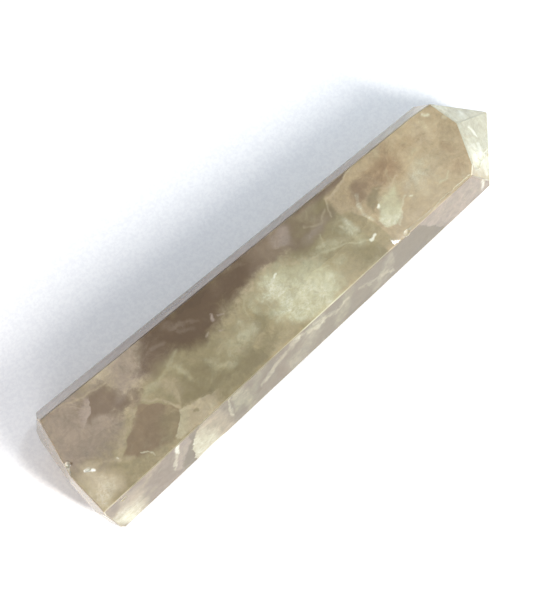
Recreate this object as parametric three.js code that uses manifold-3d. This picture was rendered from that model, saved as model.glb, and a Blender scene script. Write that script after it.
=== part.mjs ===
import * as THREE from 'three';
import Module from 'manifold-3d';
import { ConvexGeometry } from 'three/addons/geometries/ConvexGeometry.js';
import { mergeVertices } from 'three/addons/utils/BufferGeometryUtils.js';

// A shaped and polished point of smoky quartz, lying on the lowest of its six long facets.
// It tapers from a flat base to an off-centre tip of seven facets, and its edges are a little worn.
// While it is cut, X runs from the base to the tip, Y to the upper left side and Z up, with the
// origin under the middle of the base. At the end it is moved to stand over the middle of its box.
// Lengths are in millimetres and angles in degrees.

// Overall sizes
const LENGTH = 90;
const BASE_HEIGHT = 17.7;
const TIP_SIDE = 0.3;
const TIP_HEIGHT = 6.7;
const TIP_WEAR = 0.25;

// Softened edges: the width of the polished strip, and the angle under which two facets need none
const EDGE_WIDTH = 0.22;
const EDGE_ANGLE = 14;
const SHORTEST_EDGE = 0.5;

// Long facets. turn goes round the long axis from +Y up to +Z, lean is how far the facet closes in
// towards the tip, and reach is its distance from the origin.
const LONG_FACETS = [
  { turn: 90, lean: 2.2, reach: BASE_HEIGHT },
  { turn: 17.7, lean: 2, reach: 13.52 },
  { turn: -30, lean: 1, reach: 5.4 },
  { turn: -90, lean: 0, reach: 0 },
  { turn: -150, lean: 0.9, reach: 5.65 },
  { turn: 160.9, lean: 1.9, reach: 13.77 },
];

// A narrow facet that trims the upper left shoulder, and the one that trims the lower right shoulder
const SHOULDER_FACETS = [
  { turn: 20.2, lean: 7.1, reach: 20.87 },
  { turn: 139.3, lean: 35.9, reach: 57.84 },
];

// Facets that meet at the tip
const TIP_FACETS = [
  { turn: 77.7, lean: 46.3 },
  { turn: 112.6, lean: 42.8 },
  { turn: 165, lean: 48 },
  { turn: -80, lean: 42 },
  { turn: 19.5, lean: 44 },
];

// Facets of the base: the flat it was sawn to, then the ground chamfers and corners round its upper
// edge. heading goes round the upright from -X towards +Y, and rise is how far the facet faces up.
const BASE_FACETS = [
  { heading: 0, rise: 0, reach: 0 },
  { heading: 11.2, rise: 11.6, reach: 2.3 },
  { heading: -2.9, rise: 11.9, reach: 2.64 },
  { heading: 38.6, rise: 9.7, reach: 6.24 },
  { heading: -19.5, rise: 5.7, reach: 3.4 },
  { heading: -48, rise: 0, reach: 7.37 },
];

// Shell-shaped chips: the centre and half-sizes of each hollow, and its turn about the upright
const CHIPS = [
  // Pit at the upper base edge
  { centre: [1.9, 0.6, 17.8], half: [0.5, 0.42, 0.45], turn: 20 },
  // Shallow flake on the top facet near the base
  { centre: [3.75, -2, 17.67], half: [0.55, 0.28, 0.22], turn: -25 },
  // Flake on the lower right facet near the base
  { centre: [4.85, -8.9, 16.42], half: [0.75, 0.3, 0.35], turn: 0 },
  // Nick on the ridge of the top facet
  { centre: [64.3, -6.85, 15.4], half: [0.6, 0.55, 0.5], turn: 15 },
  // Step along the widest edge of the lower right side
  { centre: [20, -11.53, 8.4], half: [5.2, 0.75, 1.7], turn: 2 },
  // Broken edge between the tip and the lower right shoulder
  { centre: [82.35, -6.25, 14.65], half: [2.8, 2.5, 2.9], turn: 30 },
  { centre: [84.6, -6.45, 13.35], half: [3.2, 2.6, 3], turn: -20 },
  { centre: [85.15, -8.2, 10.25], half: [2.6, 3.2, 3], turn: 25 },
];

const STONE = new THREE.MeshStandardMaterial({ color: 0xa69986, roughness: 0.15, metalness: 0 });

const wasm = await Module();
wasm.setup();

const radians = THREE.MathUtils.degToRad;

// A facet is a plane whose normal points out of the stone.
function sideNormal({ turn, lean }) {
  const across = Math.cos(radians(lean));
  return new THREE.Vector3(
    Math.sin(radians(lean)),
    across * Math.cos(radians(turn)),
    across * Math.sin(radians(turn)),
  );
}

function endNormal({ heading, rise }) {
  const level = Math.cos(radians(rise));
  return new THREE.Vector3(
    -level * Math.cos(radians(heading)),
    level * Math.sin(radians(heading)),
    Math.sin(radians(rise)),
  );
}

function facetAt(normal, reach) {
  return new THREE.Plane(normal, -reach);
}

function groundFacets() {
  const tip = new THREE.Vector3(LENGTH, TIP_SIDE, TIP_HEIGHT);
  const sides = [...LONG_FACETS, ...SHOULDER_FACETS].map((facet) => {
    return facetAt(sideNormal(facet), facet.reach);
  });
  const tips = TIP_FACETS.map((facet) => {
    const normal = sideNormal(facet);
    return facetAt(normal, normal.dot(tip));
  });
  const ends = BASE_FACETS.map((facet) => facetAt(endNormal(facet), facet.reach));
  const wornTip = facetAt(new THREE.Vector3(1, 0, 0), LENGTH - TIP_WEAR);
  return [...sides, ...tips, ...ends, wornTip];
}

// The point that three planes share, or null where they have none.
function meetingPoint(a, b, c) {
  const bc = new THREE.Vector3().crossVectors(b.normal, c.normal);
  const ca = new THREE.Vector3().crossVectors(c.normal, a.normal);
  const ab = new THREE.Vector3().crossVectors(a.normal, b.normal);
  const spread = a.normal.dot(bc);
  if (Math.abs(spread) < 1e-5) {
    return null;
  }
  const point = bc.multiplyScalar(-a.constant);
  point.addScaledVector(ca, -b.constant);
  point.addScaledVector(ab, -c.constant);
  return point.divideScalar(spread);
}

// Every corner of the solid that the planes bound, with the planes that meet there.
function cornersOf(planes) {
  const corners = [];
  for (let i = 0; i < planes.length; i += 1) {
    for (let j = i + 1; j < planes.length; j += 1) {
      for (let k = j + 1; k < planes.length; k += 1) {
        const point = meetingPoint(planes[i], planes[j], planes[k]);
        if (point && planes.every((plane) => plane.distanceToPoint(point) < 1e-6)) {
          corners.push({ point, on: [i, j, k] });
        }
      }
    }
  }
  return corners;
}

// The polished strip that softens the edge between two facets, through a point of that edge.
function strip(a, b, point) {
  const halfAngle = a.normal.angleTo(b.normal) / 2;
  const depth = (EDGE_WIDTH / 2) * Math.tan(halfAngle);
  const normal = new THREE.Vector3().addVectors(a.normal, b.normal).normalize();
  return facetAt(normal, normal.dot(point) - depth);
}

function edgeStrips(planes) {
  const corners = cornersOf(planes);
  const strips = [];
  for (let i = 0; i < planes.length; i += 1) {
    for (let j = i + 1; j < planes.length; j += 1) {
      const ends = corners.filter(({ on }) => on.includes(i) && on.includes(j));
      const sharp = planes[i].normal.angleTo(planes[j].normal) > radians(EDGE_ANGLE);
      const long = ends.length > 1 && ends[0].point.distanceTo(ends[1].point) > SHORTEST_EDGE;
      if (sharp && long) {
        strips.push(strip(planes[i], planes[j], ends[0].point));
      }
    }
  }
  return strips;
}

// Corners that all but coincide are taken as one.
function distinctPoints(corners) {
  const points = [];
  for (const { point } of corners) {
    if (points.every((other) => other.distanceTo(point) > 0.01)) {
      points.push(point);
    }
  }
  return points;
}

function toSolid(geometry) {
  const bare = geometry.clone();
  bare.deleteAttribute('normal');
  bare.deleteAttribute('uv');
  const merged = mergeVertices(bare, 1e-4);
  const vertProperties = new Float32Array(merged.attributes.position.array);
  const triVerts = new Uint32Array(merged.index.array);
  return new wasm.Manifold(new wasm.Mesh({ numProp: 3, vertProperties, triVerts }));
}

function toGeometry(solid) {
  const mesh = solid.getMesh();
  const geometry = new THREE.BufferGeometry();
  geometry.setAttribute('position', new THREE.BufferAttribute(mesh.vertProperties, 3));
  geometry.setIndex(new THREE.BufferAttribute(mesh.triVerts, 1));
  geometry.computeVertexNormals();
  return geometry;
}

function chipHollow({ centre, half, turn }) {
  const hollow = new THREE.IcosahedronGeometry(1, 2);
  hollow.scale(...half);
  hollow.rotateZ(radians(turn));
  hollow.translate(...centre);
  return toSolid(hollow);
}

function point() {
  const facets = groundFacets();
  const softened = [...facets, ...edgeStrips(facets)];
  const blank = toSolid(new ConvexGeometry(distinctPoints(cornersOf(softened))));
  const chipped = CHIPS.reduce((solid, chip) => solid.subtract(chipHollow(chip)), blank);
  const geometry = toGeometry(chipped);
  geometry.computeBoundingBox();
  const middle = geometry.boundingBox.getCenter(new THREE.Vector3());
  return geometry.translate(-middle.x, -middle.y, 0);
}

const quartzPoint = new THREE.Mesh(point(), STONE);
quartzPoint.name = 'quartz_point';

const model = new THREE.Group();
model.add(quartzPoint);

export default model;
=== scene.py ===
"""Looks for a polished point of smoky quartz that lies on white paper.

The stone is cut and chipped in the CAD model. Here its facets get the small unevenness of hand
polishing and its chips a broken grain, and the cloudy brown inside is painted in layers. Lengths of
the looks are millimetres in the frame in which the stone was cut: X runs from the base to the tip,
Y to the upper left side and Z up, with the origin under the middle of the base.
"""

import logging
import math
from dataclasses import dataclass
from enum import Enum
from typing import Any

import bmesh
import bpy
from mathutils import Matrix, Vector


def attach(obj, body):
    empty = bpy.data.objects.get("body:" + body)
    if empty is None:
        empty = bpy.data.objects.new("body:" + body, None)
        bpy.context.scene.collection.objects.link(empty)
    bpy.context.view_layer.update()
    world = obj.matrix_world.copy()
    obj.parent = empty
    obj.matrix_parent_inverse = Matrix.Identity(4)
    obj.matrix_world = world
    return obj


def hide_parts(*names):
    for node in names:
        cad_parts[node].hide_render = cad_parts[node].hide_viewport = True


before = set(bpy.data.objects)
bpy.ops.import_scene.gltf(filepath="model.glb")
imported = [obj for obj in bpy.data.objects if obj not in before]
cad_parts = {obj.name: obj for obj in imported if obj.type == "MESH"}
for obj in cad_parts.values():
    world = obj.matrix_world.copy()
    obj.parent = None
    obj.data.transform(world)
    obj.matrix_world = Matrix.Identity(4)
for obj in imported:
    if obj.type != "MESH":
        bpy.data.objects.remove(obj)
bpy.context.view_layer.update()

Pair = tuple[float, float]
Triple = tuple[float, float, float]
Colour = tuple[float, float, float, float]

MILLIMETRE = 0.001
CUT_ORIGIN = (-44.875, 0.12, 0.0)
LUMA = (0.3, 0.6, 0.1)
SEED_STEP = (31.7, -17.3, 23.9)

logging.basicConfig(level=logging.INFO, format="%(message)s")
log = logging.getLogger("smoky_quartz")


class Tone(Enum):
    """The colours of the stone, as they are on a screen."""

    UMBER = (102, 82, 61)
    BARK = (128, 110, 90)
    WINDOW = (142, 123, 98)
    MAUVE = (154, 139, 122)
    OLIVE = (136, 124, 92)
    MOSS = (154, 142, 108)
    HONEY = (172, 154, 121)
    RUST = (152, 126, 95)
    SAND = (178, 164, 136)
    PINK = (166, 151, 136)
    TAUPE = (143, 129, 112)
    ROSE = (147, 118, 94)
    SLATE = (129, 118, 99)
    MIST = (176, 171, 139)
    REED = (186, 184, 162)
    CREAM = (206, 193, 168)
    MILK = (194, 190, 163)
    FROST = (226, 226, 210)
    SNOW = (246, 246, 236)

    @property
    def linear(self) -> Colour:
        """The colour as the shader takes it.

        Returns:
            Red, green, blue and opacity in linear light.
        """
        parts = [value / 255 for value in self.value]
        bright = [v / 12.92 if v <= 0.04045 else ((v + 0.055) / 1.055) ** 2.4 for v in parts]
        return (*bright, 1.0)


class Facet(Enum):
    """Sides of the stone that have a look of their own."""

    ALL = "all"
    TOP = "top"
    LOWER_RIGHT = "lower right"
    UPPER_LEFT = "upper left"
    TIP = "tip"
    BASE = "base"


# The way that each side faces, and how nearly a face has to face it, from not at all to fully
SIDES: dict[Facet, tuple[Triple, Pair]] = {
    Facet.TOP: ((0, 0, 1), (0.9, 0.97)),
    Facet.LOWER_RIGHT: ((0.033, -0.944, 0.327), (0.9, 0.97)),
    Facet.UPPER_LEFT: ((0.035, 0.952, 0.304), (0.9, 0.97)),
    Facet.TIP: ((1, 0, 0), (0.2, 0.3)),
    Facet.BASE: ((-1, 0, 0), (0.5, 0.6)),
}


class Wire:
    """The output of a node, on which Python's arithmetic adds Math and Vector Math nodes."""

    def __init__(self, net: "Net", socket: bpy.types.NodeSocket) -> None:
        """Keeps the socket and the tree that it belongs to.

        Args:
            net: The tree.
            socket: The output.
        """
        self.net = net
        self.socket = socket

    def join(self, operation: str, *terms: Any) -> "Wire":
        """Adds the node for one operation.

        Args:
            operation: Blender's name of the operation.
            terms: The values that it takes, in order.

        Returns:
            The result.
        """
        types = {term.socket.type for term in terms if isinstance(term, Wire)}
        kind = "ShaderNodeVectorMath" if types & {"VECTOR", "RGBA"} else "ShaderNodeMath"
        return self.net.add(kind, {"operation": operation}, dict(enumerate(terms)))

    def __add__(self, other: Any) -> "Wire":
        """The sum."""
        return self.join("ADD", self, other)

    def __radd__(self, other: Any) -> "Wire":
        """The sum."""
        return self.join("ADD", other, self)

    def __sub__(self, other: Any) -> "Wire":
        """The difference."""
        return self.join("SUBTRACT", self, other)

    def __rsub__(self, other: Any) -> "Wire":
        """The difference."""
        return self.join("SUBTRACT", other, self)

    def __mul__(self, other: Any) -> "Wire":
        """The product."""
        return self.join("MULTIPLY", self, other)

    def __rmul__(self, other: Any) -> "Wire":
        """The product."""
        return self.join("MULTIPLY", other, self)

    def __rtruediv__(self, other: Any) -> "Wire":
        """The quotient."""
        return self.join("DIVIDE", other, self)

    def least(self, other: Any) -> "Wire":
        """The lesser of the two."""
        return self.join("MINIMUM", self, other)

    def scaled(self, factor: Any) -> "Wire":
        """A vector, longer by a factor."""
        inputs = {0: self, "Scale": factor}
        return self.net.add("ShaderNodeVectorMath", {"operation": "SCALE"}, inputs)

    def along(self, way: Triple) -> "Wire":
        """How far a vector reaches in a direction."""
        settings = {"operation": "DOT_PRODUCT"}
        return self.net.add("ShaderNodeVectorMath", settings, {0: self, 1: way}, "Value")

    def length(self) -> "Wire":
        """A vector's length."""
        return self.net.add("ShaderNodeVectorMath", {"operation": "LENGTH"}, {0: self}, "Value")

    def rise(self, low: float, high: float) -> "Wire":
        """Eases from 0 to 1 as the value goes from low to high.

        Args:
            low: Where it is still 0.
            high: Where it is 1, which may be below low.

        Returns:
            The eased value.
        """
        settings = {"interpolation_type": "SMOOTHSTEP"}
        inputs = {"Value": self, "From Min": low, "From Max": high}
        return self.net.add("ShaderNodeMapRange", settings, inputs)

    def beside(self, name: str) -> "Wire":
        """Another output of the same node."""
        return Wire(self.net, self.socket.node.outputs[name])


class Net:
    """A node tree that is written as expressions."""

    def __init__(self, tree: bpy.types.NodeTree) -> None:
        """Starts from a tree.

        Args:
            tree: The tree, which may already have nodes.
        """
        self.tree = tree

    def add(
        self,
        kind: str,
        settings: dict[str, Any] | None = None,
        inputs: dict[str | int, Any] | None = None,
        output: str | int = 0,
    ) -> Wire:
        """Adds a node.

        Args:
            kind: The node's type.
            settings: Its properties, which are set first.
            inputs: The values or wires of its sockets, by name or place.
            output: The name or place of the output that is wanted.

        Returns:
            That output.
        """
        node = self.tree.nodes.new(kind)
        for name, value in (settings or {}).items():
            setattr(node, name, value)
        for key, value in (inputs or {}).items():
            if isinstance(value, Wire):
                self.tree.links.new(value.socket, node.inputs[key])
            else:
                node.inputs[key].default_value = value
        return Wire(self, node.outputs[output])

    def noise(
        self, at: Wire, size: Any, seed: Any, detail: float = 4, rough: float = 0.5, warp: float = 0
    ) -> Wire:
        """Fractal noise about 0.5.

        Args:
            at: The point.
            size: The size of its largest lumps.
            seed: Picks one of many such patterns.
            detail: How many finer sizes are laid over the first.
            rough: How strong the finer ones are.
            warp: How far the pattern is pulled about.

        Returns:
            The noise.
        """
        start = self.add("ShaderNodeCombineXYZ", {}, dict(enumerate(SEED_STEP))).scaled(seed)
        inputs = {
            "Vector": at + start,
            "Scale": 1 / size,
            "Detail": detail,
            "Roughness": rough,
            "Distortion": warp,
        }
        return self.add("ShaderNodeTexNoise", {}, inputs, "Fac")

    def drift(self, at: Wire, size: float, seed: float, detail: float) -> Wire:
        """A vector that wanders about 0, at most 0.5 in each direction.

        Args:
            at: The point.
            size: The size of its largest lumps.
            seed: Picks one of many such patterns.
            detail: How many finer sizes are laid over the first.

        Returns:
            The vector.
        """
        return self.noise(at, size, seed, detail).beside("Color") - (0.5, 0.5, 0.5)

    def streaks(self, at: Wire, turn: float, stretch: Triple, size: float, seed: float) -> Wire:
        """Noise that is drawn out into fibres.

        Args:
            at: The point.
            turn: The way of the fibres, in degrees about the upright.
            stretch: How much longer than its size the noise is along and across them.
            size: The size of its largest lumps.
            seed: Picks one of many such patterns.

        Returns:
            The noise, about 0.5.
        """
        place = {"Vector": at, "Rotation": (0, 0, math.radians(turn)), "Scale": stretch}
        drawn = self.add("ShaderNodeMapping", {"vector_type": "TEXTURE"}, place)
        return self.noise(drawn, size, seed, 6, 0.62, 0.5)

    def cells(self, at: Wire, size: float, stretch: float) -> Wire:
        """A pattern of cells that are drawn out along X.

        Args:
            at: The point.
            size: The size of a cell.
            stretch: How much longer than wide it is.

        Returns:
            The distance from a cell's middle. The node's other output is the cell's own colour.
        """
        place = {"Vector": at, "Scale": (size * stretch, size, size)}
        drawn = self.add("ShaderNodeMapping", {"vector_type": "TEXTURE"}, place)
        return self.add("ShaderNodeTexVoronoi", {}, {"Vector": drawn, "Scale": 1.0}, "Distance")

    def blend(self, share: Any, first: Any, second: Any) -> Wire:
        """A colour between two others.

        Args:
            share: How much of the second there is.
            first: A wire or a tone.
            second: A wire or a tone.

        Returns:
            The colour.
        """
        colours = [c.linear if isinstance(c, Tone) else c for c in (first, second)]
        settings = {"data_type": "RGBA", "blend_type": "MIX", "clamp_factor": True}
        return self.add("ShaderNodeMix", settings, {0: share, 6: colours[0], 7: colours[1]}, 2)

    def close(self, surface: Wire, volume: Wire | None = None) -> None:
        """Leads the finished shaders to the material's output.

        Args:
            surface: The surface shader.
            volume: The shader of what is inside, if there is one.
        """
        output = self.tree.nodes.new("ShaderNodeOutputMaterial")
        self.tree.links.new(surface.socket, output.inputs["Surface"])
        if volume is not None:
            self.tree.links.new(volume.socket, output.inputs["Volume"])


@dataclass(frozen=True)
class Place:
    """A point of the stone, pulled about so that nothing laid over it has an even outline.

    soft is pulled about more than crisp, and flat is crisp in plan. grain is fine noise about 0,
    and grained is flat with the grain as its height.
    """

    soft: Wire
    crisp: Wire
    flat: Wire
    grain: Wire
    grained: Wire


@dataclass(frozen=True)
class Cloud:
    """A soft body of another colour within the stone.

    centre and half are its middle and half-sizes in plan, turn is degrees about the upright, soft
    is the share of it over which it fades, and ragged is how far noise eats into its edge. level
    and tall are its middle and half-size upwards.
    """

    centre: Pair
    half: Pair
    turn: float = 0.0
    soft: float = 0.5
    ragged: float = 0.8
    level: float = 13.0
    tall: float = 9.0

    def mask(self, net: Net, place: Place) -> Wire:
        """Where the cloud is.

        Args:
            net: The material's tree.
            place: The point.

        Returns:
            1 within the cloud and 0 outside it.
        """
        at = place.soft
        middle = (*self.centre, self.level)
        if self.turn:
            back = {"Vector": at, "Center": middle, "Angle": -math.radians(self.turn)}
            at = net.add("ShaderNodeVectorRotate", {"rotation_type": "Z_AXIS"}, back)
        shares = [1 / half for half in (*self.half, self.tall)]
        start = [-centre * share for centre, share in zip(middle, shares)]
        near = at.join("MULTIPLY_ADD", at, shares, start).length()
        return (near + place.grain * self.ragged).rise(1.0, 1.0 - self.soft)


@dataclass(frozen=True)
class Crack:
    """A thin line through points in plan, width to each side."""

    points: tuple[Pair, ...]
    width: float = 0.3
    ragged: float = 0.6

    def mask(self, net: Net, place: Place) -> Wire:
        """Where the line is.

        Args:
            net: The material's tree.
            place: The point.

        Returns:
            1 along the line and 0 away from it.
        """
        near = self.part(net, place.flat, *self.points[:2])
        for start, end in zip(self.points[1:], self.points[2:]):
            near = near.least(self.part(net, place.flat, start, end))
        return (near + place.grain * self.ragged).rise(self.width, 0)

    def part(self, net: Net, at: Wire, start: Pair, end: Pair) -> Wire:
        """How far a point is from one straight part of the line.

        Args:
            net: The material's tree.
            at: The point, in plan.
            start: One end of the part.
            end: The other.

        Returns:
            The distance.
        """
        way = Vector((end[0] - start[0], end[1] - start[1], 0))
        past = at - (*start, 0)
        share = past.along(tuple(way / way.length_squared))
        share = net.add("ShaderNodeClamp", {}, {"Value": share})
        settings = {"operation": "SCALE"}
        foot = net.add("ShaderNodeVectorMath", settings, {0: tuple(way), "Scale": share})
        settings = {"operation": "DISTANCE"}
        return net.add("ShaderNodeVectorMath", settings, {0: past, 1: foot}, "Value")


@dataclass(frozen=True)
class Pane:
    """A patch between fractures.

    corners go round it in plan, against the clock. soft is how many millimetres it takes to
    begin at each edge, from the one after the first corner on, or one value for all.
    """

    corners: tuple[Pair, ...]
    soft: float | tuple[float, ...] = 0.25
    ragged: float = 0.6

    def mask(self, net: Net, place: Place) -> Wire:
        """Where the patch is.

        Args:
            net: The material's tree. Not used.
            place: The point.

        Returns:
            1 within the outline and 0 outside it.
        """
        count = len(self.corners)
        softs = self.soft if isinstance(self.soft, tuple) else (self.soft,) * count
        ends = self.corners[1:] + self.corners[:1]
        deep = None
        for start, end, soft in zip(self.corners, ends, softs):
            edge = Vector(end) - Vector(start)
            inward = Vector((-edge.y, edge.x)).normalized() / soft
            way = place.grained.along((inward.x, inward.y, self.ragged / soft))
            way = way - inward.dot(Vector(start))
            deep = way if deep is None else deep.least(way)
        return deep.rise(0, 1)


@dataclass(frozen=True)
class Layer:
    """One form of one tone, laid over those before it on one side or on all of the stone.

    mottle is how much of it the fine noise takes away.
    """

    form: Cloud | Crack | Pane
    tone: Tone
    share: float
    facet: Facet = Facet.ALL
    mottle: float = 0.0


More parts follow.
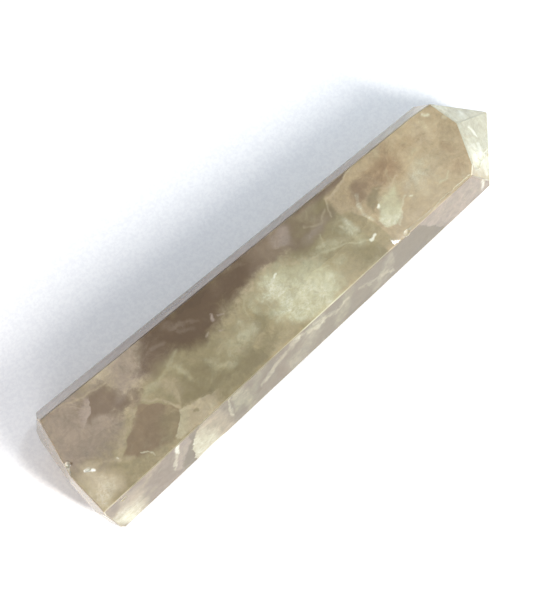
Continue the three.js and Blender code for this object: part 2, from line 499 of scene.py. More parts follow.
LAYERS = (
    # Broad zones
    Layer(Cloud((45, -4), (60, 8), 0, 0.3), Tone.MOSS, 0.7),
    Layer(Cloud((45, 7), (14, 5), 0, 0.6), Tone.BARK, 0.5),
    Layer(Cloud((5, 3.4), (12, 8), 0, 0.4), Tone.MAUVE, 0.9),
    Layer(Cloud((19, 6.6), (6, 4.4), 0, 0.5), Tone.MAUVE, 0.85),
    Layer(Pane(((61, -14), (94, -14), (94, 14), (66, 14), (58, 6), (57.6, 4.5)), 0.8), Tone.HONEY, 0.95),
    Layer(Cloud((22.4, 4.6), (5.4, 4.6), 0, 0.9), Tone.BARK, 0.85),
    Layer(Cloud((30, 5.8), (13.4, 5), -2, 0.65), Tone.UMBER, 0.95),
    Layer(Cloud((40, 6), (7, 4), 0, 0.8), Tone.UMBER, 0.9),
    Layer(Cloud((46.8, 5.4), (7, 3), 0, 0.5), Tone.BARK, 0.7),
    Layer(Cloud((11.6, 4.4), (5.2, 4), -30, 0.5), Tone.BARK, 0.8),
    Layer(Cloud((16.4, 2), (3.6, 2.6), 0, 0.8), Tone.BARK, 0.85),
    Layer(Cloud((53.4, 3.4), (4.6, 2.6), 0, 0.6), Tone.BARK, 0.4),
    Layer(Cloud((37.6, -3), (2.6, 3.6), 0, 0.5), Tone.MOSS, 0.9),
    Layer(Cloud((36.8, -3.4), (1.8, 3), 0, 0.9), Tone.OLIVE, 0.5),
    Layer(Cloud((33.4, -6.2), (6, 1.6), 4, 0.5), Tone.OLIVE, 0.5),
    Layer(Cloud((63.8, 2.4), (2.8, 2.4), 10, 0.8), Tone.RUST, 0.85),
    Layer(Cloud((68.4, 3.2), (5.2, 3.8), -8, 0.9), Tone.RUST, 0.9),
    Layer(Cloud((63.6, 2.6), (2.2, 2.6), 0, 0.8), Tone.WINDOW, 0.7),
    Layer(Cloud((74, 4.2), (4, 1.6), -6, 0.9, 1.2), Tone.RUST, 0.35, mottle=0.2),
    Layer(
        Pane(
            ((56, -7), (62.4, -7), (62.2, -3.7), (61.3, -1), (60.2, 1.9), (57, 3)),
            (1.0, 0.4, 0.3, 0.3, 0.5, 2.0),
        ),
        Tone.MOSS, 0.7, Facet.TOP,
    ),
    Layer(
        Pane(((62, -1.6), (64.2, -0.4), (66.8, 1.4), (65.6, 2.4), (63.4, 2), (62, 0.6)), 0.8),
        Tone.OLIVE, 0.6,
    ),
    Layer(Cloud((70.4, -2.2), (5.6, 3), 0, 0.7), Tone.SAND, 0.6, mottle=0.4),
    Layer(Cloud((78, 4), (3.6, 3.4), 0, 0.8), Tone.SAND, 0.3, mottle=0.3),
    Layer(Cloud((72.4, -2), (5, 3), 12, 0.9, 1.4), Tone.MIST, 0.4, mottle=0.5),
    Layer(Cloud((77.4, -5.2), (3, 1.8), 0, 0.9, 1.2), Tone.RUST, 0.4, mottle=0.2),
    Layer(Cloud((79, -1), (1.8, 3), 0, 0.9, 1.2), Tone.RUST, 0.3, mottle=0.2),
    # Sharp-edged patches of the top
    Layer(
        Pane(
            ((20.1, -4.1), (26.6, -5.8), (29.5, -5), (29, -1), (25, 0.8), (21.9, -0.6)),
            (0.25, 0.9, 2.2, 1.8, 1.0, 0.35),
        ),
        Tone.OLIVE, 0.85, Facet.TOP,
    ),
    Layer(Pane(((55.6, -7), (60.8, -7.4), (59.6, -4.6), (56.8, -3)), 0.9), Tone.OLIVE, 0.4, Facet.TOP),
    Layer(
        Pane(
            ((51.5, 9.5), (52.4, 6.2), (58.2, 5.6), (61, 5.8), (65.4, 7.1), (66.5, 9.5)),
            (1.6, 1.2, 0.3, 0.3, 0.4, 0.4), 0.4,
        ),
        Tone.BARK, 0.95, Facet.TOP,
    ),
    Layer(
        Pane(((16.2, -7.6), (26, -9), (27, -5.9), (20.1, -4.1)), (0.5, 2.6, 0.25, 0.2)),
        Tone.SAND, 0.75, Facet.TOP,
    ),
    Layer(
        Pane(((16.2, -7.6), (19, -8), (22, -4.8), (20.1, -4.1)), (0.5, 1.4, 0.4, 0.2)),
        Tone.MIST, 0.4, Facet.TOP,
    ),
    Layer(Cloud((21.9, -6), (0.8, 0.6), 20, 0.6), Tone.OLIVE, 0.6, Facet.TOP),
    Layer(
        Pane(
            (
                (8.7, -3.9), (9.9, -5.9), (13.3, -6.9), (16.2, -7.6), (19.8, -4.5), (20, -3.9),
                (18.4, -1.5), (16.2, 0.2), (15.4, 0.6),
            ),
            (0.9, 0.9, 0.6, 0.2, 0.2, 0.3, 0.35, 0.3, 0.4), 0.9,
        ),
        Tone.WINDOW, 0.95, Facet.TOP,
    ),
    Layer(
        Pane(
            ((13.6, -6.9), (16.2, -7.6), (19.8, -4.5), (20, -3.9), (18.4, -1.8), (15, -3)),
            (0.5, 0.3, 0.3, 0.6, 2.0, 2.4),
        ),
        Tone.MOSS, 0.5, Facet.TOP,
    ),
    # Pale clouds
    Layer(Cloud((45.4, -2.6), (8.6, 6.2), -10, 0.5, 1.2), Tone.MIST, 0.95, mottle=0.2),
    Layer(Cloud((42.4, -1), (3.4, 3.8), 0, 0.9, 1.2), Tone.MILK, 0.5, mottle=0.4),
    Layer(Cloud((48.2, -3.6), (4, 3), -20, 0.9, 1.2), Tone.MILK, 0.5, mottle=0.3),
    Layer(Cloud((43.8, -5.2), (4.8, 2.6), 0, 0.9, 1.2), Tone.MILK, 0.15, mottle=0.3),
    Layer(Cloud((54, -1), (3.2, 1.8), -30, 0.9, 1.2), Tone.MIST, 0.65, mottle=0.4),
    Layer(Cloud((32.8, -1.6), (4, 2.8), 0, 0.8, 1.6), Tone.MIST, 0.5, mottle=0.5),
    Layer(Cloud((34.2, -1.6), (2.2, 2.6), 10, 0.9, 1.4), Tone.MILK, 0.25, mottle=0.5),
    Layer(Cloud((31, -4), (2.8, 1.8), 0, 0.8, 1.6), Tone.MIST, 0.4, mottle=0.6),
    Layer(Cloud((19.4, 7.2), (2.2, 2), 0, 0.9, 1.2), Tone.SAND, 0.2, mottle=0.3),
    Layer(Cloud((15.2, 4.4), (1, 3.6), -20, 0.9, 1.2), Tone.PINK, 0.35, mottle=0.3),
    Layer(Cloud((20.4, 0.2), (4.4, 1.1), -3, 0.9, 1.2), Tone.MIST, 0.45, mottle=0.3),
    Layer(Cloud((21.2, -1.4), (1.6, 2.4), 20, 0.9, 1.2), Tone.SAND, 0.5, mottle=0.3),
    Layer(Cloud((24, 0), (1.7, 1.4), 40, 0.9, 1.2), Tone.MIST, 0.6, mottle=0.3),
    Layer(Cloud((16.1, 2), (2.4, 1.8), 0, 0.9, 1.4), Tone.BARK, 0.55, mottle=0.3),
    Layer(Cloud((57.4, -0.6), (2.2, 3), 0, 0.8, 1.2), Tone.MIST, 0.6, mottle=0.4),
    Layer(Cloud((49, 6), (3, 1.8), 0, 0.8, 1.2), Tone.PINK, 0.8, mottle=0.2),
    Layer(Cloud((53.4, 3.2), (2.4, 1.6), -20, 0.9, 1.2), Tone.MAUVE, 0.7, mottle=0.3),
    Layer(Cloud((3.8, -4.6), (4.6, 3), -30, 0.8, 0.6), Tone.SAND, 0.9),
    Layer(Cloud((2.4, -4.8), (4, 3.6), 0, 0.9, 0.8), Tone.CREAM, 0.4),
    Layer(
        Pane(
            ((61.9, -2.4), (62.4, -3.8), (63.6, -5), (64.3, -5.1), (67.9, -2.2), (69, 1), (64.6, 0.8)),
            (0.5, 0.4, 0.3, 0.35, 1.6, 1.8, 0.9), 0.8,
        ),
        Tone.MIST, 0.95, mottle=0.15,
    ),
    Layer(
        Pane(
            ((61.8, -2.4), (62.4, -3.8), (63.6, -5), (64.3, -5.1), (67, -3), (64.4, -0.4)),
            (0.5, 0.4, 0.3, 0.5, 2.0, 0.8), 1.2,
        ),
        Tone.MILK, 0.45, mottle=0.3,
    ),
    Layer(Crack(((67.9, -2.2), (66, -3.7), (64.3, -5.1)), 0.3), Tone.MILK, 0.4),
    Layer(Crack(((64, -0.6), (63.8, -0.8)), 0.35), Tone.FROST, 0.8),
    # Veils and cracks, with painted glints, painted highlights and painted shade among them
    Layer(
        Pane(
            ((6.2, 3.3), (6.9, 2.9), (9, 3.8), (10, 4.7), (10.9, 6.2), (10.2, 7.2), (8, 6)),
            (0.8, 0.3, 0.2, 0.2, 0.8, 1.6, 1.6), 0.4,
        ),
        Tone.PINK, 0.9, Facet.TOP,
    ),
    Layer(
        Pane(((3, 9.2), (10.4, 6.8), (14.2, 6.3), (17, 9.2)), (0.3, 0.3, 2.0, 0.3)),
        Tone.PINK, 0.25, Facet.TOP,
    ),
    Layer(Crack(((5, 8.5), (10.5, 6.7), (14, 6.3)), 0.35), Tone.SAND, 0.4),
    Layer(Crack(((3, -0.7), (4.4, -1.9), (9.8, -5)), 0.7, 1.0), Tone.SAND, 0.5, mottle=0.5),
    Layer(Crack(((11.2, -5.3), (12.1, -5.9), (12.4, -6.9)), 0.25, 0.9), Tone.MILK, 0.6, mottle=0.6),
    Layer(
        Crack(((8, -3.9), (9.6, -2.4), (11.2, -1.4), (13, -1.2), (14.8, 0.8), (15.6, 2)), 0.9, 1.4),
        Tone.SAND, 0.5, mottle=0.6,
    ),
    Layer(Crack(((27.6, -1.4), (28.4, -3), (30.2, -4.4)), 0.8, 1.0), Tone.MIST, 0.45, mottle=0.5),
    Layer(
        Crack(((16.4, 0.4), (18.6, -1.2), (20, -3.9), (19.6, -4.8)), 0.35, 0.9),
        Tone.SAND, 0.5, mottle=0.4,
    ),
    Layer(Crack(((22.6, 1.9), (25, 2.9)), 0.5, 1.0), Tone.MIST, 0.3),
    # Painted glints: small pink points of light in an arc across the dark zone
    Layer(Crack(((32.8, 3.5), (32.5, 2.8)), 0.4, 0.9), Tone.PINK, 0.8),
    Layer(Crack(((33.7, 2.8), (34.3, 2.5)), 0.3), Tone.PINK, 0.5),
    Layer(Cloud((32.1, 1.6), (0.4, 0.4), 0, 0.6, 0.4), Tone.PINK, 0.5),
    Layer(Crack(((30.7, 1.6), (30.2, 1.6)), 0.3), Tone.PINK, 0.5),
    Layer(
        Crack(((26.6, 5.9), (28.1, 5.6), (29.4, 5.2), (30.6, 4.2)), 0.6, 1.6),
        Tone.MAUVE, 0.3, mottle=0.3,
    ),
    Layer(Crack(((27.3, 5), (28.4, 4.4), (29.4, 3.8)), 0.6, 1.6), Tone.MAUVE, 0.25, mottle=0.3),
    Layer(Crack(((22.4, 5.6), (24.4, 5)), 0.6, 1.6), Tone.MAUVE, 0.4, mottle=0.2),
    Layer(Cloud((27.6, 6.6), (3, 1.2), 0, 0.9, 1.2), Tone.MAUVE, 0.35, mottle=0.5),
    Layer(Cloud((36, 6), (3, 1.4), 20, 0.9, 1.2), Tone.BARK, 0.5, mottle=0.5),
    Layer(Crack(((50.7, 0), (55.7, -1.7), (59.7, -4.3)), 0.35), Tone.MIST, 0.4),
    Layer(Crack(((58.2, 1), (58.8, -1.4)), 0.8, 1.0), Tone.MILK, 0.4, mottle=0.3),
    Layer(Crack(((57.2, 0.8), (57.9, -1.2)), 0.5, 1.0), Tone.MILK, 0.25, mottle=0.3),
    Layer(Crack(((53.9, 1.8), (53.1, 0.2), (52, 0.8)), 0.4, 1.0), Tone.MIST, 0.45, mottle=0.3),
    Layer(Crack(((52.8, 4.4), (55, 3), (57, 4.4)), 0.4, 1.0), Tone.SAND, 0.4, mottle=0.4),
    Layer(
        Crack(((57, 3), (57.6, 4.4), (58.4, 5.5), (60.8, 5.6), (63, 6.4), (65, 6.9)), 0.3),
        Tone.SAND, 0.5,
    ),
    # Painted highlights: two small bright glints on the top
    Layer(Crack(((59.2, -4), (60.3, -3.8)), 0.4), Tone.FROST, 0.7),
    Layer(Crack(((44, 1.5), (44.6, 1.8)), 0.3), Tone.FROST, 0.6),
    Layer(
        Crack(((62.2, 2.8), (61.4, 1.3), (61.2, 0.4), (61.2, -0.4), (61.6, -1.7)), 0.55, 1.2),
        Tone.MILK, 0.6, mottle=0.5,
    ),
    Layer(Crack(((65.4, 1.5), (67, 0.5), (69.4, 1.2)), 0.4, 1.0), Tone.SAND, 0.5, mottle=0.4),
    Layer(Crack(((79.3, 5.6), (79.8, 5.2)), 0.45), Tone.MILK, 0.7),
    Layer(Crack(((81.4, 3.3), (81.8, 3)), 0.4), Tone.MILK, 0.4),
    Layer(Crack(((68.6, -2.7), (68.9, -2.9)), 0.35), Tone.MILK, 0.7),
    Layer(Crack(((73.6, -4.2), (75, -4.4), (75.9, -3.8)), 0.35), Tone.MIST, 0.5),
    # Painted highlights on the rim of the pit and on the flake near the base
    Layer(Crack(((1.5, 0.7), (1.8, 0.4)), 0.4, 0.4), Tone.SNOW, 1.0, Facet.TOP),
    Layer(Crack(((3.3, -1.9), (3.7, -2.3), (4.4, -2.6)), 0.35, 0.5), Tone.SNOW, 1.0, Facet.TOP),
    # Painted highlight: a thin bright line along the ridge towards the tip
    Layer(Crack(((64, -6.6), (78.4, -6.4)), 0.15, 0.3), Tone.MILK, 0.6, mottle=0.4),
    # Painted shade: the dark hollow of the pit near the base
    Layer(Crack(((1.9, 0.7), (2.2, 0.4)), 0.5, 0.3), Tone.UMBER, 0.9),
    Layer(
        Pane(((80.2, -9), (90, -12), (90, -2), (81.5, -2.2), (80.3, -4)), (0.5, 0.5, 0.5, 0.4, 0.4), 1.4),
        Tone.MIST, 0.5, mottle=0.2,
    ),
    # Lower right side
    Layer(Cloud((45, -9.5), (60, 9), tall=30), Tone.SLATE, 0.95, Facet.LOWER_RIGHT),
    Layer(
        Pane(((-3, -14), (12, -14), (19.6, -5), (-3, -5)), 0.3, 0.3),
        Tone.TAUPE, 0.95, Facet.LOWER_RIGHT,
    ),
    # Painted light: the lower right side is paler near the base, where light passes through the thin edge
    Layer(Cloud((2, -9.8), (8, 2.4), 0, 0.8, 0.6, 8, 9), Tone.MILK, 0.9, Facet.LOWER_RIGHT),
    Layer(Cloud((4.5, -9.4), (5.5, 2.6), 0, 0.9, 0.8, tall=20), Tone.CREAM, 0.45, Facet.LOWER_RIGHT, 0.2),
    Layer(Crack(((6, -9.6), (11, -8.4), (14.6, -7.8)), 0.5, 1.2), Tone.SAND, 0.4, Facet.LOWER_RIGHT, 0.2),
    Layer(
        Pane(((13, -10.4), (16.4, -12), (18, -9), (22, -7), (16.3, -7)), 0.3),
        Tone.PINK, 0.6, Facet.LOWER_RIGHT,
    ),
    Layer(
        Crack(((13.2, -10.2), (15.4, -8.7), (16.3, -7.8)), 0.3, 0.8),
        Tone.MILK, 0.5, Facet.LOWER_RIGHT, 0.2,
    ),
    # Painted glint on the fracture
    Layer(Crack(((15.4, -8.8), (16, -8.1)), 0.35, 0.8), Tone.FROST, 0.55, Facet.LOWER_RIGHT),
    Layer(
        Pane(
            ((16.2, -12), (26, -12), (26.2, -9), (24.8, -7.6), (21.3, -7.7), (19.2, -8.4), (17.4, -9.6)),
            (0.3, 2.4, 1.0, 0.8, 0.3, 0.15, 0.15), 0.9,
        ),
        Tone.SAND, 0.6, Facet.LOWER_RIGHT, 0.2,
    ),
    Layer(
        Pane(
            ((16.2, -12), (22.6, -12), (23.4, -9.6), (20.6, -8), (19.2, -8.4), (17.4, -9.6)),
            (0.3, 2.6, 1.6, 0.5, 0.15, 0.15), 1.2,
        ),
        Tone.MILK, 0.65, Facet.LOWER_RIGHT, 0.2,
    ),
    Layer(
        Crack(((25.4, -9.8), (26, -8.6), (26.9, -7.2)), 0.35, 1.0),
        Tone.MILK, 0.5, Facet.LOWER_RIGHT, 0.2,
    ),
    Layer(
        Crack(((28.5, -10.6), (31, -8.6), (33.6, -7.4)), 1.1, 2.0),
        Tone.MIST, 0.3, Facet.LOWER_RIGHT, 0.4,
    ),
    Layer(Crack(((37, -10.2), (42, -9), (45.6, -7.6)), 1.3, 2.2), Tone.MILK, 0.25, Facet.LOWER_RIGHT, 0.4),
    Layer(Crack(((47.5, -9.8), (50, -8.6), (52, -7.2)), 1.1, 2.0), Tone.MIST, 0.3, Facet.LOWER_RIGHT, 0.4),
    Layer(Crack(((56, -9.6), (60.5, -8)), 1.2, 2.0), Tone.MILK, 0.25, Facet.LOWER_RIGHT, 0.4),
    Layer(
        Pane(((25.4, -10), (29.6, -10.4), (30.4, -8), (27, -7.2)), 0.8),
        Tone.MIST, 0.5, Facet.LOWER_RIGHT, 0.4,
    ),
    Layer(Cloud((32, -9.8), (3.4, 0.9), 0, 0.8, tall=20), Tone.BARK, 0.4, Facet.LOWER_RIGHT),
    Layer(Cloud((36.4, -8.8), (4, 1.1), 8, 0.8, tall=20), Tone.BARK, 0.5, Facet.LOWER_RIGHT),
    Layer(Cloud((50, -9.2), (5, 0.7), 4, 0.8, tall=20), Tone.BARK, 0.3, Facet.LOWER_RIGHT),
    Layer(Cloud((59, -8.8), (3, 1.2), 4, 0.8, tall=20), Tone.BARK, 0.2, Facet.LOWER_RIGHT),
    Layer(Crack(((32, -9.4), (36, -8.4), (41, -7.9)), 0.4, 1.0), Tone.MILK, 0.4, Facet.LOWER_RIGHT, 0.4),
    Layer(Crack(((40, -7.6), (44, -8.4), (46, -8.2)), 0.35, 1.0), Tone.MILK, 0.4, Facet.LOWER_RIGHT, 0.3),
    Layer(Crack(((44, -7.8), (48, -8.4), (51, -8.2)), 0.3, 1.0), Tone.MILK, 0.4, Facet.LOWER_RIGHT, 0.3),
    Layer(Crack(((53, -8.2), (60, -9.2)), 0.3, 1.0), Tone.MILK, 0.3, Facet.LOWER_RIGHT, 0.3),
    Layer(
        Pane(((60.6, -6.6), (60.6, -10.4), (70.4, -9.4), (67.6, -7.8), (64.3, -6.4)), 0.2, 0.3),
        Tone.SLATE, 0.6, Facet.LOWER_RIGHT,
    ),
    Layer(
        Pane(((64.4, -6.4), (67.6, -7.8), (70.4, -9.6), (84, -9.6), (84, -5)), 0.2, 0.3),
        Tone.PINK, 0.7, Facet.LOWER_RIGHT, 0.2,
    ),
    # Upper left side
    Layer(Cloud((45, 9.5), (60, 9), tall=30), Tone.ROSE, 0.9, Facet.UPPER_LEFT, 0.25),
    Layer(Cloud((26, 9.5), (14, 9), 0, 0.9, 1.2, 10, 6), Tone.BARK, 0.5, Facet.UPPER_LEFT, 0.3),
    Layer(Cloud((51, 9.5), (9, 9), 0, 0.9, 1.4, 11, 5), Tone.MOSS, 0.4, Facet.UPPER_LEFT, 0.5),
    Layer(Cloud((64, 9), (8, 9), 0, 0.9, 1.2, 8, 6), Tone.RUST, 0.5, Facet.UPPER_LEFT, 0.3),
    Layer(Cloud((14, 9.5), (3, 9), 0, 0.9, 1.2, 7, 4), Tone.MIST, 0.4, Facet.UPPER_LEFT, 0.5),
    Layer(Cloud((8, 9.5), (12, 9), 0, 0.8, tall=30), Tone.PINK, 0.7, Facet.UPPER_LEFT),
    Layer(Cloud((78, 8.5), (16, 9), 0, 0.9, tall=30), Tone.SAND, 0.8, Facet.UPPER_LEFT),
    Layer(Cloud((40, 9), (60, 9), level=18, tall=3.4), Tone.PINK, 0.4, Facet.UPPER_LEFT),
    # Ends; the tip is paler partly in its own clear colour and partly as painted light that falls on it
    Layer(Cloud((86, 0), (12, 14), tall=40), Tone.REED, 0.9, Facet.TIP, 0.1),
    Layer(Cloud((84, 8.4), (2.4, 1.4), -8, 0.5, 0.5, tall=40), Tone.CREAM, 0.7, Facet.TIP),
    Layer(Cloud((85.4, 1.8), (1.8, 1.6), 0, 0.9, 1.2, tall=40), Tone.FROST, 0.5, Facet.TIP, 0.2),
    Layer(
        Pane(((81.4, -2), (82.4, 0.6), (83.6, 0.4), (84.4, -1.4), (82.6, -2.6)), 0.8),
        Tone.SAND, 0.6, Facet.TIP,
    ),
    Layer(Cloud((81.8, -4), (2.2, 1.7), 40, 0.5, 1.8, tall=40), Tone.FROST, 0.4, Facet.TIP, 0.5),
    Layer(Crack(((80, -5.8), (80.6, -4.4), (81.4, -2.6)), 0.6, 1.4), Tone.FROST, 0.5, mottle=0.2),
    Layer(Crack(((84.2, -0.4), (84.4, -2)), 0.4, 1.0), Tone.FROST, 0.7, Facet.TIP, 0.2),
    Layer(Cloud((0, -1), (6, 14), tall=40), Tone.SAND, 0.9, Facet.BASE, 0.1),
)


@dataclass(frozen=True)
class Wisp:
    """Fibres within the stone.

    turn is their way, in degrees about the upright, size is in millimetres, and seed picks the
    pattern. fade is where it goes from none to full, and cover where the broad noise lets it show.
    """

    turn: float
    size: float
    seed: float
    fade: Pair
    cover: Pair
    share: float
    tone: Tone


@dataclass(frozen=True)
class SmokyQuartz:
    """Cloudy brown quartz under a polished face.

    view_depth is how far below a facet its picture lies, in millimetres. clear is the share of
    clear crystal where the stone is milky and where it is dark, with smoke, its colour, and
    smoke_density per metre, and cloudy_side is how much of it the upper left side loses. glow is
    the share of light that spreads under the surface, and glow_depth how far, in metres. polish is
    the roughness, which wanders by polish_wander. strip_painted_shade is painted shade that darkens a
    polished edge strip against the extra light that it catches, worn_rough is what the strip does to
    the roughness, and chip_bloom and chip_rough are what a chip does to the colour and the roughness.
    ripple and chip_grain are the depths of their relief, in millimetres. low_part is the height at
    which the clouds of the underside begin and are full. pulls and jolt are the size and strength,
    in millimetres, of the noises that pull the forms about. A thread is its turn, size and seed.
    """

    view_depth: float = 3.0
    clear: Pair = (0.06, 0.3)
    clear_range: Pair = (0.55, 0.1)
    cloudy_side: float = 0.85
    index: float = 1.544
    polish: float = 0.12
    polish_wander: float = 0.08
    smoke: Colour = (0.62, 0.5, 0.3, 1.0)
    smoke_density: float = 90.0
    glass: Colour = (0.96, 0.94, 0.9, 1.0)
    glow: float = 0.5
    glow_depth: float = 0.0016
    glow_reach: Triple = (1.0, 0.85, 0.65)
    strip_painted_shade: float = 0.16
    worn_rough: float = 0.3
    chip_bloom: float = 0.35
    chip_rough: float = 0.4
    ripple: float = 0.004
    chip_grain: float = 0.08
    low_part: Pair = (8.0, 3.0)
    low_share: float = 0.7
    pulls: tuple[Pair, Pair] = ((7.0, 7.0), (2.2, 2.4))
    jolt: Pair = (1.4, 1.0)
    wisps: tuple[Wisp, ...] = (
        Wisp(35, 2.4, 8, (0.53, 0.7), (0.42, 0.58), 0.34, Tone.MIST),
        Wisp(-28, 1.8, 9, (0.54, 0.7), (0.6, 0.44), 0.3, Tone.SAND),
    )
    wisp_stretch: Triple = (2.6, 1.0, 1.5)
    threads: tuple[Triple, ...] = ((50, 1.5, 14), (-35, 1.1, 15), (5, 0.8, 16))
    thread_stretch: Triple = (2.4, 1.0, 1.0)
    thread_share: float = 0.28
    shard_share: float = 0.12
    glint_speck_share: float = 0.35

    def material(self) -> bpy.types.Material:
        """Makes the finish.

        Returns:
            The finished material.
        """
        material = bpy.data.materials.new("smoky_quartz")
        material.use_nodes = True
        material.node_tree.nodes.clear()
        net = Net(material.node_tree)
        metres = net.add("ShaderNodeTexCoord", output="Object")
        surface = metres.scaled(1 / MILLIMETRE) - CUT_ORIGIN
        way = net.add("ShaderNodeAttribute", {"attribute_name": "facet_way"}, output="Vector")
        worn = net.add("ShaderNodeAttribute", {"attribute_name": "worn"}, output="Fac")
        broken = net.add("ShaderNodeAttribute", {"attribute_name": "broken"}, output="Fac")
        sides = self.sides(way)
        colour = self.colour(net, surface, way, sides)
        dark = colour.along(LUMA).rise(*self.clear_range)
        clear = dark * (self.clear[1] - self.clear[0]) + self.clear[0]
        clear = clear * (1 - sides[Facet.UPPER_LEFT] * self.cloudy_side)
        # Painted shade: polished edge strips are darkened against the extra light that they catch
        colour = colour.scaled(1 - worn * self.strip_painted_shade)
        colour = net.blend(broken * self.chip_bloom, colour, Tone.FROST)
        rough = net.noise(surface, size=6, seed=41, detail=3) * self.polish_wander
        rough = rough + (self.polish - self.polish_wander / 2)
        rough = rough + broken * self.chip_rough + worn * self.worn_rough
        normal = self.relief(net, surface, broken)
        skin = {"Roughness": rough, "IOR": self.index, "Normal": normal}
        milky = {
            "Base Color": colour,
            "Subsurface Weight": self.glow,
            "Subsurface Radius": self.glow_reach,
            "Subsurface Scale": self.glow_depth,
        }
        glassy = {"Base Color": self.glass, "Transmission Weight": 1.0}
        shaders = {
            0: clear * (1 - broken),
            1: net.add("ShaderNodeBsdfPrincipled", {}, skin | milky),
            2: net.add("ShaderNodeBsdfPrincipled", {}, skin | glassy),
        }
        body = net.add("ShaderNodeMixShader", {}, shaders)
        inputs = {"Color": self.smoke, "Density": self.smoke_density}
        net.close(body, net.add("ShaderNodeVolumeAbsorption", {}, inputs))
        return material

    def colour(self, net: Net, surface: Wire, way: Wire, sides: dict[Facet, Wire]) -> Wire:
        """The stone's colours in layers.

        Args:
            net: The material's tree.
            surface: The point on the stone.
            way: The way that the facet faces.
            sides: Which side of the stone it is on.

        Returns:
            The colour.
        """
        inside = surface - way.scaled(self.view_depth)
        (broad_size, broad_pull), (near_size, near_pull) = self.pulls
        pull = net.drift(inside, broad_size, 11, 2).scaled(broad_pull)
        pull = pull + net.drift(inside, near_size, 12, 3).scaled(near_pull)
        jolt = net.drift(inside, self.jolt[0], 13, 3).scaled(self.jolt[1])
        grain = net.noise(inside, size=2.2, seed=2, detail=8, rough=0.76, warp=0.5) - 0.5
        within, on_top = (self.place(net, at + pull, at + jolt, grain) for at in (inside, surface))
        low = inside.along((0, 0, 1)).rise(*self.low_part) * self.low_share
        broad = net.noise(inside, size=13, seed=1)
        colour = net.blend(broad.rise(0.4, 0.6), Tone.OLIVE, Tone.SAND)
        shade = net.noise(inside, size=16, seed=5).rise(0.5, 0.62)
        colour = net.blend(shade * low, colour, Tone.BARK)
        haze = net.noise(inside, size=11, seed=6, detail=5).rise(0.5, 0.65)
        colour = net.blend(haze * low, colour, Tone.MIST)
        gaps = net.noise(within.crisp, size=1.7, seed=3, detail=6, rough=0.6, warp=0.6)
        gaps = gaps.rise(0.56, 0.42)
        mottles = sorted({layer.mottle for layer in LAYERS if layer.mottle})
        left = {mottle: 1 - gaps * mottle for mottle in mottles}
        for layer in LAYERS:
            place = within if layer.facet is Facet.ALL else on_top
            share = layer.form.mask(net, place) * layer.share
            if layer.mottle:
                share = share * left[layer.mottle]
            if layer.facet in sides:
                share = share * sides[layer.facet]
            colour = net.blend(share, colour, layer.tone)
        return self.weather(net, colour, within)

    def place(self, net: Net, soft: Wire, crisp: Wire, grain: Wire) -> Place:
        """A point in the forms that the layers read it in.

        Args:
            net: The material's tree.
            soft: The point, pulled about widely.
            crisp: The point, pulled about little.
            grain: Fine noise about 0.

        Returns:
            The point.
        """
        flat = crisp * (1, 1, 0)
        return Place(soft, crisp, flat, grain, flat + net.add("ShaderNodeCombineXYZ", {}, {2: grain}))

    def weather(self, net: Net, colour: Wire, place: Place) -> Wire:
        """Lays wisps, shards, painted glints and a mottled grain over the colours.

        Args:
            net: The material's tree.
            colour: The colours.
            place: The point within the stone.

        Returns:
            The colour.
        """
        light = colour.along(LUMA)
        bright = light.rise(0.12, 0.3)
        cover = net.noise(place.crisp, size=9, seed=4, detail=2)
        for wisp in self.wisps:
            fibres = net.streaks(place.soft, wisp.turn, self.wisp_stretch, wisp.size, wisp.seed)
            share = fibres.rise(*wisp.fade) * bright * cover.rise(*wisp.cover) * wisp.share
            colour = net.blend(share, colour, wisp.tone)
        for turn, size, seed in self.threads:
            thread = net.streaks(place.crisp, turn, self.thread_stretch, size, seed)
            thread = thread.rise(0.45, 0.5) * thread.rise(0.55, 0.5) * cover.rise(0.35, 0.6)
            share = thread * light.rise(0.3, 0.52) * self.thread_share
            colour = net.blend(share, colour, Tone.FROST)
        shard = net.cells(place.crisp, size=6, stretch=2.2).beside("Color").along((1, 0, 0))
        grain = net.noise(place.crisp, size=0.7, seed=10, rough=0.6) - 0.5
        grain = place.grain * 0.6 + grain * 0.3
        grain = grain * (bright * 0.7 + 0.4)
        colour = colour.scaled(1 + grain + (shard - 0.5) * self.shard_share)
        # Painted glints: sparse tiny frost-white points of light scattered through the stone
        glint_speck = net.cells(place.crisp, size=3.6, stretch=1)
        chosen = glint_speck.beside("Color").along((0, 1, 0)).rise(0.9, 0.92)
        share = glint_speck.rise(0.08, 0.03) * chosen * self.glint_speck_share
        return net.blend(share, colour, Tone.FROST)

    def sides(self, way: Wire) -> dict[Facet, Wire]:
        """Which side of the stone a point is on.

        Args:
            way: The way that the facet faces.

        Returns:
            For each side with a look of its own, 1 on it and 0 elsewhere.
        """
        return {side: way.along(facing).rise(*span) for side, (facing, span) in SIDES.items()}

    def relief(self, net: Net, surface: Wire, broken: Wire) -> Wire:
        """The fine unevenness of the surface.

        Args:
            net: The material's tree.
            surface: The point on the stone.
            broken: 1 where the stone is chipped.

        Returns:
            The normal.
        """
        swirl = net.noise(surface, size=2.5, seed=21, detail=2)
        grain = net.noise(surface, size=0.5, seed=22, rough=0.6)
        height = swirl * self.ripple + grain * broken * self.chip_grain
        inputs = {"Height": height, "Distance": MILLIMETRE, "Strength": 0.6}
        return net.add("ShaderNodeBump", {}, inputs, "Normal")


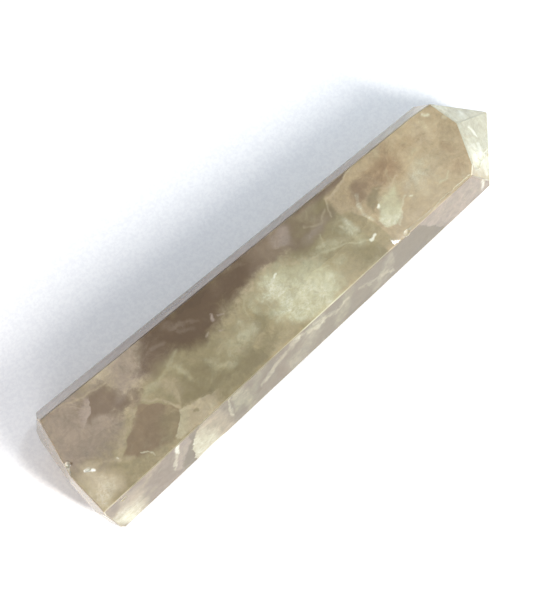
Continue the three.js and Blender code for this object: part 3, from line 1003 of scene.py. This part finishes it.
@dataclass(frozen=True)
class Paper:
    """White paper with a faint grain."""

    white: Colour = (0.9, 0.9, 0.9, 1.0)
    grey: Colour = (0.84, 0.84, 0.85, 1.0)
    fibre_depth: float = 0.00003
    matt: float = 0.9
    shine: float = 0.1

    def material(self) -> bpy.types.Material:
        """Makes the finish.

        Returns:
            The finished material.
        """
        material = bpy.data.materials.new("white_paper")
        material.use_nodes = True
        material.node_tree.nodes.clear()
        net = Net(material.node_tree)
        at = net.add("ShaderNodeTexCoord", output="Object").scaled(1 / MILLIMETRE)
        fibre = net.noise(at, size=0.5, seed=51, detail=3, rough=0.6)
        colour = net.blend(fibre.rise(0.35, 0.65), self.grey, self.white)
        relief = {"Height": fibre, "Distance": self.fibre_depth}
        inputs = {
            "Base Color": colour,
            "Roughness": self.matt,
            "Specular IOR Level": self.shine,
            "Normal": net.add("ShaderNodeBump", {}, relief, "Normal"),
        }
        net.close(net.add("ShaderNodeBsdfPrincipled", {}, inputs))
        return material


@dataclass(frozen=True)
class HandPolish:
    """The small unevenness that hand polishing and knocks leave. Sizes are millimetres.

    wave is the depth and length of the waves of a facet, nick that of the wear of the edges, and
    break_grain that of the broken surface of a chip. nick_range is where the wear goes from none
    to full, and chip_core the share of a point's faces that have to be broken for it to move.
    """

    wave: Pair = (0.03, 9.0)
    nick: Pair = (0.07, 2.2)
    nick_range: Pair = (0.5, 0.75)
    break_grain: Pair = (0.3, 1.3)
    chip_core: Pair = (0.9, 1.0)
    seed: float = 3.0

    def tree(self) -> bpy.types.NodeTree:
        """The Geometry Nodes tree, with an input for each size.

        Returns:
            The tree.
        """
        group = bpy.data.node_groups.new("hand_polish", "GeometryNodeTree")
        group.interface.new_socket("Geometry", in_out="INPUT", socket_type="NodeSocketGeometry")
        group.interface.new_socket("Geometry", in_out="OUTPUT", socket_type="NodeSocketGeometry")
        for name in self.inputs():
            group.interface.new_socket(name, in_out="INPUT", socket_type="NodeSocketFloat")
        group.interface.new_socket("Finish", in_out="INPUT", socket_type="NodeSocketMaterial")
        net = Net(group)
        entry = net.add("NodeGroupInput")
        seed = entry.beside("Seed")
        at = net.add("GeometryNodeInputPosition").scaled(1 / MILLIMETRE)
        wave = net.noise(at, entry.beside("Wave Length"), seed, detail=1)
        nick = net.noise(at, entry.beside("Nick Length"), seed + 1, detail=3)
        nick = nick.rise(*self.nick_range)
        grain = net.noise(at, entry.beside("Break Length"), seed + 2, rough=0.6)
        depth = wave * entry.beside("Wave Depth")
        depth = depth + nick * entry.beside("Nick Depth") * self.marked(net, "worn")
        core = self.marked(net, "broken").rise(*self.chip_core)
        depth = depth + grain * entry.beside("Break Depth") * core
        inward = net.add("GeometryNodeInputNormal").scaled(depth * -MILLIMETRE)
        moved = net.add("GeometryNodeSetPosition", {}, {"Geometry": entry, "Offset": inward})
        real = net.add("GeometryNodeRealizeInstances", {}, {0: moved})
        dressed = {"Geometry": real, "Material": entry.beside("Finish")}
        last = net.add("GeometryNodeSetMaterial", {}, dressed)
        group.links.new(last.socket, group.nodes.new("NodeGroupOutput").inputs[0])
        return group

    def inputs(self) -> dict[str, float]:
        """The tree's sizes.

        Returns:
            Each size by the name of its input.
        """
        return {
            "Wave Depth": self.wave[0],
            "Wave Length": self.wave[1],
            "Nick Depth": self.nick[0],
            "Nick Length": self.nick[1],
            "Break Depth": self.break_grain[0],
            "Break Length": self.break_grain[1],
            "Seed": self.seed,
        }

    def marked(self, net: Net, name: str) -> Wire:
        """The mesh's own mark of that name.

        Args:
            net: The tree.
            name: The mark.

        Returns:
            Its value from 0 to 1.
        """
        settings = {"data_type": "FLOAT"}
        return net.add("GeometryNodeInputNamedAttribute", settings, {"Name": name}, "Attribute")

    def apply(self, stone: bpy.types.Object, finish: bpy.types.Material) -> bpy.types.Mesh:
        """Works the stone over.

        Args:
            stone: The stone, which ends with no modifiers.
            finish: The stone's material.

        Returns:
            The worked mesh.
        """
        group = self.tree()
        polish = stone.modifiers.new("hand_polish", "NODES")
        polish.node_group = group
        values = self.inputs() | {"Finish": finish}
        for item in group.interface.items_tree:
            if item.in_out == "INPUT" and item.name in values:
                polish[item.identifier] = values[item.name]
        shine = stone.modifiers.new("round_edges", "WEIGHTED_NORMAL")
        shine.keep_sharp = True
        shine.weight = 100
        graph = bpy.context.evaluated_depsgraph_get()
        mesh = bpy.data.meshes.new_from_object(stone.evaluated_get(graph), depsgraph=graph)
        stone.modifiers.clear()
        return mesh


@dataclass
class QuartzPoint:
    """The polished point, made from a merged copy of the CAD solid.

    Sizes are millimetres and angles degrees. weld is how close points are that are one, and flat
    the greatest angle between faces that are one. slice is the spacing of the cuts that give the
    facets points to move, nearest how near a cut may pass a point without moving it, and chip_cuts
    how often a chip's edges are cut. strip is the range of widths of a polished edge strip, and
    chip_face the greatest length and area of a face of a chip. crease and chip_crease are the
    least angles that show as creases.
    """

    name: str = "smoky_quartz_point"
    weld: float = 0.002
    nearest: float = 0.0001
    flat: float = 0.6
    slice: float = 1.5
    chip_cuts: int = 2
    strip: Pair = (0.15, 0.3)
    chip_face: Pair = (5.0, 0.65)
    crease: float = 3.0
    chip_crease: float = 32.0
    finish: SmokyQuartz = SmokyQuartz()
    polish: HandPolish = HandPolish()

    def build(self, node: bpy.types.Object) -> bpy.types.Object:
        """Makes and dresses the stone.

        Args:
            node: The CAD node that it stands for.

        Returns:
            The stone.
        """
        stone = bpy.data.objects.new(self.name, self.shape(node))
        bpy.context.scene.collection.objects.link(stone)
        stone.data = self.polish.apply(stone, self.finish.material())
        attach(stone, "root")
        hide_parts(node.name)
        return stone

    def shape(self, node: bpy.types.Object) -> bpy.types.Mesh:
        """The stone's mesh, with what its material reads of each face.

        Args:
            node: The CAD node.

        Returns:
            The mesh.
        """
        bm = bmesh.new()
        bm.from_mesh(node.data)
        bmesh.ops.remove_doubles(bm, verts=bm.verts, dist=self.weld * MILLIMETRE)
        flat = math.radians(self.flat)
        bmesh.ops.dissolve_limit(bm, angle_limit=flat, verts=bm.verts, edges=bm.edges)
        way = bm.faces.layers.float_vector.new("facet_way")
        worn = bm.faces.layers.float.new("worn")
        broken = bm.faces.layers.float.new("broken")
        for face in bm.faces:
            face.smooth = True
            face[way] = face.normal
            area = face.calc_area() / MILLIMETRE**2
            length = max(edge.calc_length() / MILLIMETRE for edge in face.edges)
            width = area / length
            face[broken] = float(length <= self.chip_face[0] and area <= self.chip_face[1])
            face[worn] = float(self.strip[0] < width < self.strip[1] and not face[broken])
        for edge in bm.edges:
            edge.smooth = not self.is_crease(edge, worn, broken)
        chips = {edge for face in bm.faces if face[broken] for edge in face.edges}
        bmesh.ops.subdivide_edges(bm, edges=list(chips), cuts=self.chip_cuts, use_grid_fill=True)
        self.slice_up(bm)
        mesh = bpy.data.meshes.new(self.name)
        bm.to_mesh(mesh)
        bm.free()
        return mesh

    def is_crease(self, edge: bmesh.types.BMEdge, worn: Any, broken: Any) -> bool:
        """Whether an edge shows as a crease rather than as rounded.

        Args:
            edge: The edge.
            worn: The layer that marks edge strips.
            broken: The layer that marks chips.

        Returns:
            True for a crease.
        """
        angle = math.degrees(edge.calc_face_angle(0))
        chipped = [bool(face[broken]) for face in edge.link_faces]
        if any(chipped):
            return not all(chipped) or angle > self.chip_crease
        if any(face[worn] for face in edge.link_faces):
            return False
        return angle > self.crease

    def slice_up(self, bm: bmesh.types.BMesh) -> None:
        """Cuts every facet along a grid, without changing its shape.

        Args:
            bm: The mesh.
        """
        low = [min(v.co[axis] for v in bm.verts) for axis in range(3)]
        high = [max(v.co[axis] for v in bm.verts) for axis in range(3)]
        step = self.slice * MILLIMETRE
        near = self.nearest * MILLIMETRE
        for axis in range(3):
            normal = [float(axis == other) for other in range(3)]
            for count in range(1, int((high[axis] - low[axis]) / step) + 1):
                at = Vector(normal) * (low[axis] + count * step)
                parts = bm.verts[:] + bm.edges[:] + bm.faces[:]
                bmesh.ops.bisect_plane(bm, geom=parts, plane_co=at, plane_no=normal, dist=near)


@dataclass(frozen=True)
class Lamp:
    """A soft lamp, aimed at the stone.

    heading is the way to it from +X towards +Y and height how far up it stands, in degrees. size
    is its width and height in metres, power is in watts, and seen is whether it shows in
    reflections and through the stone.
    """

    name: str
    heading: float
    height: float
    size: Pair
    power: float
    colour: Triple
    distance: float = 0.6
    seen: bool = True

    def hang(self) -> None:
        """Adds the lamp to the scene."""
        lamp = bpy.data.lights.new(self.name, "AREA")
        lamp.shape = "ELLIPSE"
        lamp.size, lamp.size_y = self.size
        lamp.energy = self.power
        lamp.color = self.colour
        holder = bpy.data.objects.new(self.name, lamp)
        holder.visible_glossy = self.seen
        holder.visible_transmission = self.seen
        turn = math.radians(self.heading)
        tilt = math.radians(self.height)
        level = math.cos(tilt)
        away = Vector((level * math.cos(turn), level * math.sin(turn), math.sin(tilt)))
        holder.location = away * self.distance
        holder.rotation_mode = "QUATERNION"
        holder.rotation_quaternion = (-away).to_track_quat("-Z", "Y")
        bpy.context.scene.collection.objects.link(holder)


@dataclass
class Studio:
    """White paper under the stone, soft lamps around it, and the camera.

    The lamps are a tall window, the room behind it, a ceiling lamp, and two small ones close to
    the stone that lighten the paper beyond the tip and warm it beside the base. Lengths are metres
    and angles degrees, and focal_pixels is the camera's focal length in pixels of the picture.
    """

    floor: float = 1.2
    floor_gap: float = 0.0001
    sky: Colour = (0.79, 0.885, 1.0, 1.0)
    sky_strength: float = 0.6
    lamps: tuple[Lamp, ...] = (
        Lamp("window", -74, 41, (0.05, 0.38), 3.65, (1.0, 0.98, 0.95)),
        Lamp("room", 225, 35, (0.4, 0.4), 0.9, (1.0, 0.95, 0.93)),
        Lamp("ceiling_lamp", -2, 70, (0.05, 0.05), 0.5, (0.85, 0.92, 1.0)),
        Lamp("tip_fill", 25, 40, (0.03, 0.03), 0.01, (0.9, 0.96, 1.0), 0.093, False),
        Lamp("bounce", 172, 24, (0.03, 0.03), 0.014, (1.0, 0.62, 0.34), 0.12, False),
    )
    azimuth: float = -41.63
    elevation: float = 80.0
    stand_off: float = 0.21265
    target: Triple = (-0.002475, 0.00157, 0.0076)
    focal_pixels: float = 1327.74
    picture: tuple[int, int] = (533, 589)
    sensor: float = 36.0
    clip_start: float = 0.01

    def build(self) -> None:
        """Lays the paper, hangs the lamps and sets up the camera."""
        self.lay_paper()
        self.let_in_daylight()
        for lamp in self.lamps:
            lamp.hang()
        self.frame_view()

    def lay_paper(self) -> None:
        """Makes the floor."""
        half = self.floor / 2
        corners = [(-half, -half), (half, -half), (half, half), (-half, half)]
        mesh = bpy.data.meshes.new("paper")
        mesh.from_pydata([(x, y, -self.floor_gap) for x, y in corners], [], [(0, 1, 2, 3)])
        mesh.materials.append(Paper().material())
        paper = bpy.data.objects.new("paper", mesh)
        bpy.context.scene.collection.objects.link(paper)

    def let_in_daylight(self) -> None:
        """Lights the scene evenly from all around."""
        world = bpy.data.worlds.new("daylight")
        world.use_nodes = True
        sky = world.node_tree.nodes["Background"]
        sky.inputs["Color"].default_value = self.sky
        sky.inputs["Strength"].default_value = self.sky_strength
        bpy.context.scene.world = world

    def frame_view(self) -> None:
        """Adds the camera where the photograph was taken from."""
        turn = math.radians(self.azimuth)
        tilt = math.radians(self.elevation)
        level = math.cos(tilt)
        back = Vector((math.sin(turn) * level, -math.cos(turn) * level, math.sin(tilt)))
        camera = bpy.data.cameras.new("camera")
        camera.sensor_width = self.sensor
        camera.lens = self.focal_pixels * self.sensor / max(self.picture)
        camera.clip_start = self.clip_start
        holder = bpy.data.objects.new("camera", camera)
        holder.location = Vector(self.target) + back * self.stand_off
        holder.rotation_mode = "QUATERNION"
        holder.rotation_quaternion = (-back).to_track_quat("-Z", "Y")
        bpy.context.scene.collection.objects.link(holder)
        bpy.context.scene.camera = holder
        bpy.context.scene.view_settings.view_transform = "Standard"


def main() -> None:
    """Builds the stone and what it lies on."""
    stone = QuartzPoint().build(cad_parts["quartz_point"])
    log.info("%s: %d faces", stone.name, len(stone.data.polygons))
    Studio().build()
    log.info("studio: paper, lamps and camera")


if __name__ == "__main__":
    main()
